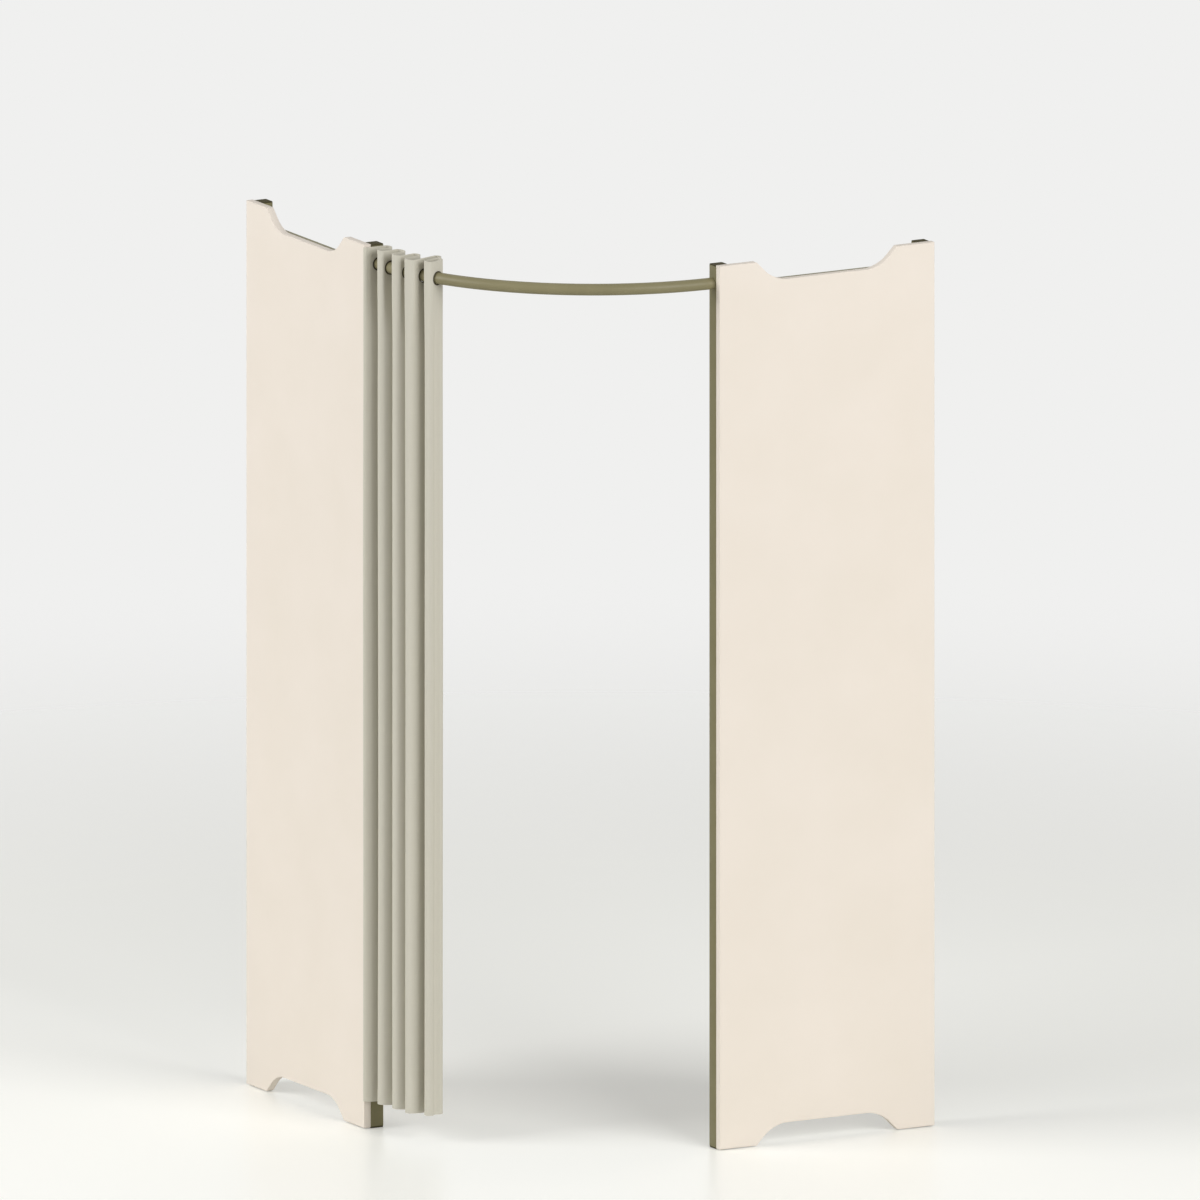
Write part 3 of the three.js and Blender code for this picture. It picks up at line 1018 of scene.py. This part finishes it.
# %% Half a fold, held and free
FOLD_REACH = 48 * MM
REACH_SHARES = (0.79, 0.505, 0.505, 0.505, 0.515, 0.505, 0.75, 0.935, 0.51, 0.505)
TURN_DEPTH = 7 * MM
TURN_WIDTH = 3 * MM
FREE_TURN_DEPTH = 12 * MM
RIPPLE = 3 * MM
RIPPLE_LENGTH = 30 * MM
RIPPLE_START = 11 * MM
STRAIGHT_STEPS = 8
TURN_STEPS = 9
fold_reaches = [FOLD_REACH * share for share in REACH_SHARES]


def held_steps(reach):
    """From the rail out to a bend: offset, and share of the way over to the bend's middle."""
    straight = reach - TURN_DEPTH
    swings = [math.tau / 4 * i / TURN_STEPS for i in range(TURN_STEPS + 1)]
    steps = [(straight * i / STRAIGHT_STEPS, 0) for i in range(STRAIGHT_STEPS)]
    return steps + [(straight + TURN_DEPTH * math.sin(swing), 1 - math.cos(swing)) for swing in swings]


def front_leg(eyelet, offset, share):
    """The free angle of a place on a leg that faces the doorway."""
    outer, inner = fold_reaches[eyelet], fold_reaches[eyelet + 1]
    crest, valley = turn_angles[eyelet], turn_angles[eyelet + 1]
    leg = max(valley - TURN_WIDTH / bend_radius, eyelet_angles[eyelet])
    along = max(offset + inner - TURN_DEPTH, 0) / (outer + inner - TURN_DEPTH)
    belly = leg + (crest - leg) * (1 - math.sqrt(max(1 - along ** 2, 0)))
    if eyelet == EYELETS - 1:
        wave = math.sin(math.tau * (offset - RIPPLE_START) / RIPPLE_LENGTH)
        belly += RIPPLE * (1 - share) * wave / bend_radius
    return belly + (valley - leg) * share * (offset < 0)


def half_fold(eyelet, turn):
    """Places from an eyelet to the turn before or after it: offset, held angle, free angle."""
    way = -1 if turn % 2 else 1
    here, swing_over = eyelet_angles[eyelet], turn_angles[turn] - eyelet_angles[eyelet]
    reach = fold_reaches[turn]
    places = []
    for offset, share in held_steps(reach):
        along = min(max(1 - (reach - offset) / FREE_TURN_DEPTH, 0), 1)
        back_leg = here + swing_over * (1 - math.sqrt(1 - along ** 2))
        free = back_leg if eyelet % 2 else front_leg(eyelet, way * offset, share)
        places.append((way * offset, here + swing_over * share, free))
    return places


# %% Where the cloth runs
folds = [half_fold(0, 0)[::-1]]
for k in range(EYELETS - 1):
    folds.append(half_fold(k, k + 1) + half_fold(k + 1, k + 1)[-2::-1])
folds.append(half_fold(EYELETS - 1, EYELETS))
cloth_lines = [[rail_point(held, offset) for offset, held, free in fold] for fold in folds]
line_lengths = [sum((b - a).length for a, b in zip(line, line[1:])) for line in cloth_lines]
print("cloth along the curtain:", round(sum(line_lengths), 3), "m")

# %% [markdown]
# Each line is raised to the curtain's height and cut level by level, with the levels close
# together near the eyelets, where the folds change, and at the hem. There the cloth is
# doubled: it is thicker, and a line of stitches pinches it.

# %% The cloth's levels
HEM = 40 * MM
STITCH_INSET = 4 * MM
STITCH_SHARE = 0.4
PINCH = 1.2 * MM
FOLD_OVER = 0.5 * MM
ROW = 60 * MM
CLOSE_ROW = 10 * MM
HELD = 18 * MM
RELAXED = 180 * MM
cloth_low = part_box("curtain_fold_1")[0].z
cloth_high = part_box("curtain_fold_1")[1].z
ring_height = eyelet_middle(1).z


def rows(low, high, spacing):
    """Levels between two heights, without the heights themselves."""
    count = round((high - low) / spacing)
    return [low + (high - low) * i / count for i in range(1, count)]


def cloth_levels():
    """Each level of the cloth, and how thick the cloth is there, from 0 to 1."""
    edge = cloth_low + HEM
    hem = [(edge - STITCH_INSET - PINCH, 1), (edge - STITCH_INSET, STITCH_SHARE),
           (edge - STITCH_INSET + PINCH, 1), (edge - FOLD_OVER, 1), (edge + FOLD_OVER, 0)]
    relaxed, held = ring_height - RELAXED, ring_height + HELD
    body = [*rows(edge, relaxed, ROW), relaxed, *rows(relaxed, held, CLOSE_ROW), held]
    return hem + [(level, 0) for level in body + rows(held, cloth_high, CLOSE_ROW)]


levels = cloth_levels()
print(len(levels) + 2, "levels")

# %% [markdown]
# No cloth hangs like a ruled surface. Over the whole height the folds sway by a millimetre,
# in two waves, and the sway fades towards the eyelets. A wave is given by its size, by its
# radians to a metre along and up the cloth, and by its start.

# %% How the cloth hangs
SWAY = 1.2 * MM
SWAY_FADE = 500 * MM
SWAY_WAVES = ((1, 23, 1.9, 0), (0.6, 51, -3.7, 1))


def eased(value, start, end):
    """0 before the start, 1 after the end, and smooth between them."""
    share = min(max((value - start) / (end - start), 0), 1)
    return share * share * (3 - 2 * share)


def sway(along, height):
    """How far a place on the cloth hangs outside its ideal line."""
    slow = sum(size * math.sin(along * across + height * up + start)
               for size, across, up, start in SWAY_WAVES)
    total = sum(wave[0] for wave in SWAY_WAVES)
    return SWAY * eased(ring_height - height, HELD, SWAY_FADE) * slow / total


def hang(place, along, height):
    """Where a place of the fold is at a height."""
    offset, held, free = place
    relaxed = eased(abs(height - ring_height), HELD, RELAXED)
    return rail_point(held + (free - held) * relaxed, offset + sway(along, height), height)


print("halfway down, the first fold sways", round(sway(0, cloth_high / 2) / MM, 2), "mm")

# %% [markdown]
# A piece of cloth starts as its line in plan, which is raised and sawn at every level. Then
# the place of the line that a point stands over, and its height, give its UV, its thickness
# and where it hangs. Solidify reads the thickness from a vertex group. The holes are
# punched last, in the direction of the rail.

# %% A piece of cloth
SIDE_HEM = 16 * MM


def raised_line(name, line):
    """A line of the plan as a sheet, with an edge at every level."""
    piece = drawn_line(name, [point + UP * cloth_low for point in line])
    with editing(piece):
        take_all()
        extrude(UP * (cloth_high - cloth_low))
        for level, _ in levels:
            saw((0, 0, level), UP)
    return piece


def cloth_piece(name, fold, line, start, free_end=None):
    """A fold as a sheet, with its place along the curtain in its UV map."""
    piece = raised_line(name, line)
    reached = [start]
    for before, after in zip(line, line[1:]):
        reached.append(reached[-1] + (after - before).length)
    uv = piece.data.uv_layers.new(name="cloth")
    thick = piece.vertex_groups.new(name="thick")
    nearest = []
    for vertex in piece.data.vertices:
        spot = Vector((vertex.co.x, vertex.co.y, 0))
        nearest.append(min(range(len(line)), key=lambda i: (line[i] - spot).length_squared))
    for loop in piece.data.loops:
        height = piece.data.vertices[loop.vertex_index].co.z
        uv.data[loop.index].uv = (reached[nearest[loop.vertex_index]], height)
    for vertex, i in zip(piece.data.vertices, nearest):
        share = next((share for level, share in levels if near(vertex.co.z, level)), 1)
        if free_end is not None and abs(reached[i] - free_end) < SIDE_HEM:
            share = 1
        thick.add([vertex.index], share, "REPLACE")
        vertex.co = hang(fold[i], reached[i], vertex.co.z)
    return piece


# %% Thickness and holes
CLOTH_THICKNESS = 2 * MM
THIN_SHARE = 0.75
HOLE_RADIUS = 16.3 * MM
PUNCH_REACH = 6 * MM


def rail_way(angle):
    """The direction of the rail at a plan angle."""
    return Vector((math.sin(angle), -math.cos(angle), 0))


def thicken_and_punch(piece, eyelets):
    """Gives the cloth its thickness, and punches the holes of its eyelets."""
    keep_modifier(piece, "SOLIDIFY", thickness=CLOTH_THICKNESS, offset=0, vertex_group="thick",
                  thickness_vertex_group=THIN_SHARE, use_even_offset=True)
    punches = []
    for eyelet in eyelets:
        middle, way = eyelet_middle(eyelet + 1), rail_way(eyelet_angles[eyelet]) * PUNCH_REACH
        punches.append(bar(middle - way, middle + way, HOLE_RADIUS, sides=48))
    cut(piece, punches)


# %% [markdown]
# A piece's two side edges must move with their own eyelets alone, or a gap opens beside the
# next piece. The two end pieces each hang from one eyelet, and their free edge has a hem.


def eyelet_body(number):
    """The body that carries an eyelet. The first eyelet is held, and so is all before it."""
    return "root" if number <= 1 else f"curtain_{number}"


start = 0
for k, (fold, line) in enumerate(zip(folds, cloth_lines)):
    is_first, is_last = k == 0, k == EYELETS
    free_end = 0 if is_first else (start + line_lengths[k] if is_last else None)
    piece = cloth_piece(f"curtain_cloth_{k}", fold, line, start, free_end)
    thicken_and_punch(piece, [eyelet for eyelet in (k - 1, k) if 0 <= eyelet < EYELETS])
    body = eyelet_body(k) if is_first or is_last else None
    node = None if is_last else f"curtain_fold_{k + 1}"
    finished(piece, curtain_cloth, body, node)
    if body is None:
        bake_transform(piece)
    start += line_lengths[k]
print(EYELETS + 1, "pieces of cloth,", len(piece.data.polygons), "faces in the last")

# %% [markdown]
# An eyelet is two rolled rings clinched together round the cloth's hole. Its half section
# is a rounded C, open outwards, with the cloth's edge in its mouth. Each ring hangs on the
# rail with little play.

# %% Eyelets
BORE = 14.5 * MM
MOUTH = 17 * MM
RIM = 17.2 * MM
PLATE = 1.2 * MM
HALF_GROOVE = 1.3 * MM
WEB = 1 * MM
LIFT = 0.4 * MM

profile = [(BORE + WEB, -HALF_GROOVE), (MOUTH, -HALF_GROOVE)]
profile += arc((RIM - PLATE / 2, -HALF_GROOVE - PLATE / 2), PLATE / 2, start=60, end=-90, steps=6)
profile += arc((BORE + PLATE, -HALF_GROOVE), PLATE, start=-90, end=-180, steps=5)
mirrored = [(radius, -height) for radius, height in reversed(profile)]
ring = turned("ring", profile + mirrored, steps=48, closed=True)
for k, angle in enumerate(eyelet_angles, start=1):
    copy = copy_of(ring, f"eyelet_ring_{k}")
    placed(copy, rail_way(angle), eyelet_middle(k) + UP * LIFT)
    # Each ring takes the dark enamel, painted shade for the shadow in its hole.
    finished(copy, eyelet_enamel_painted_shade, eyelet_body(k), f"eyelet_{k}")
print(EYELETS, "eyelets,", len(ring.data.polygons), "faces each")
bpy.data.objects.remove(ring)

# %% [markdown]
# The floor is a pale disc with a faint shine. Seen by the camera it fades into the pale
# background, and elsewhere it takes the object's shadow. Two large soft lamps stand in
# front of the two panels, and the sky fills the rest, at a level where a colour renders
# about as it is written.

# %% Background
BACKGROUND = picked(240, 240, 239)
SKY = 0.3


def seen_by_camera(tree):
    """1 for a ray from the camera, also by way of a mirror or through glass, and else 0."""
    path = add_node(tree, "ShaderNodeLightPath")
    direct = calculated(tree, "MAXIMUM", path.outputs["Is Camera Ray"], path.outputs["Is Glossy Ray"])
    return calculated(tree, "MAXIMUM", direct, path.outputs["Is Transmission Ray"])


def show_mix(tree, factor, first, second, output):
    """Mixes the results of two shader nodes, and leads the mix to the output node."""
    both = add_node(tree, "ShaderNodeMixShader", Fac=factor)
    tree.links.new(first.outputs[0], both.inputs[1])
    tree.links.new(second.outputs[0], both.inputs[2])
    tree.links.new(both.outputs["Shader"], tree.nodes[output].inputs["Surface"])


world = bpy.data.worlds.new("studio")
bpy.context.scene.world = world
world.use_nodes = True
sky = world.node_tree.nodes["Background"]
sky.inputs["Color"].default_value = (1, 1, 1, 1)
sky.inputs["Strength"].default_value = SKY
backdrop = add_node(world.node_tree, "ShaderNodeBackground", Color=BACKGROUND, Strength=1)
show_mix(world.node_tree, seen_by_camera(world.node_tree), sky, backdrop, "World Output")
print("sky strength", SKY)

# %% Floor
FLOOR = picked(238, 238, 233)
FLOOR_GLOW = 0.21
FADE_START = 2.2
FADE_END = 6


def floor_finish():
    material, tree, shader = new_finish("studio_floor", FLOOR, Roughness=0.3, Specular_IOR_Level=0.15,
                                        Emission_Color=FLOOR)
    glow = calculated(tree, "MULTIPLY", seen_by_camera(tree), FLOOR_GLOW)
    connect(tree, glow, shader.inputs["Emission Strength"])
    distance = add_node(tree, "ShaderNodeVectorMath", {"operation": "LENGTH"},
                        Vector=object_place(tree))
    fade = add_node(tree, "ShaderNodeMapRange", {"interpolation_type": "SMOOTHSTEP"},
                    Value=distance.outputs["Value"], From_Min=FADE_START, From_Max=FADE_END)
    clear = add_node(tree, "ShaderNodeBsdfTransparent")
    show_mix(tree, fade.outputs["Result"], shader, clear, "Material Output")
    return material


floor = begin(bpy.ops.mesh.primitive_circle_add, "floor", vertices=96, radius=FADE_END,
              fill_type="NGON")
floor.data.materials.append(floor_finish())
print("the floor fades from", FADE_START, "to", FADE_END, "m")

# %% Lamps
LAMP_TARGET = Vector((0, 0, 1))
LAMP_ELEVATION = 25
LAMP_DISTANCE = 9
LAMP_SIZE = 5

for name, azimuth, power in (("left_softbox", -104, 440), ("front_softbox", 8, 452)):
    back = towards(azimuth, LAMP_ELEVATION)
    bpy.ops.object.light_add(type="AREA", location=LAMP_TARGET + back * LAMP_DISTANCE,
                             rotation=back.to_track_quat("Z", "Y").to_euler())
    lamp = bpy.context.object
    lamp.name = name
    lamp.data.size = LAMP_SIZE
    lamp.data.energy = power
    print(name, power, "W")

# %% View settings and sizes
bpy.context.scene.view_settings.view_transform = "Standard"
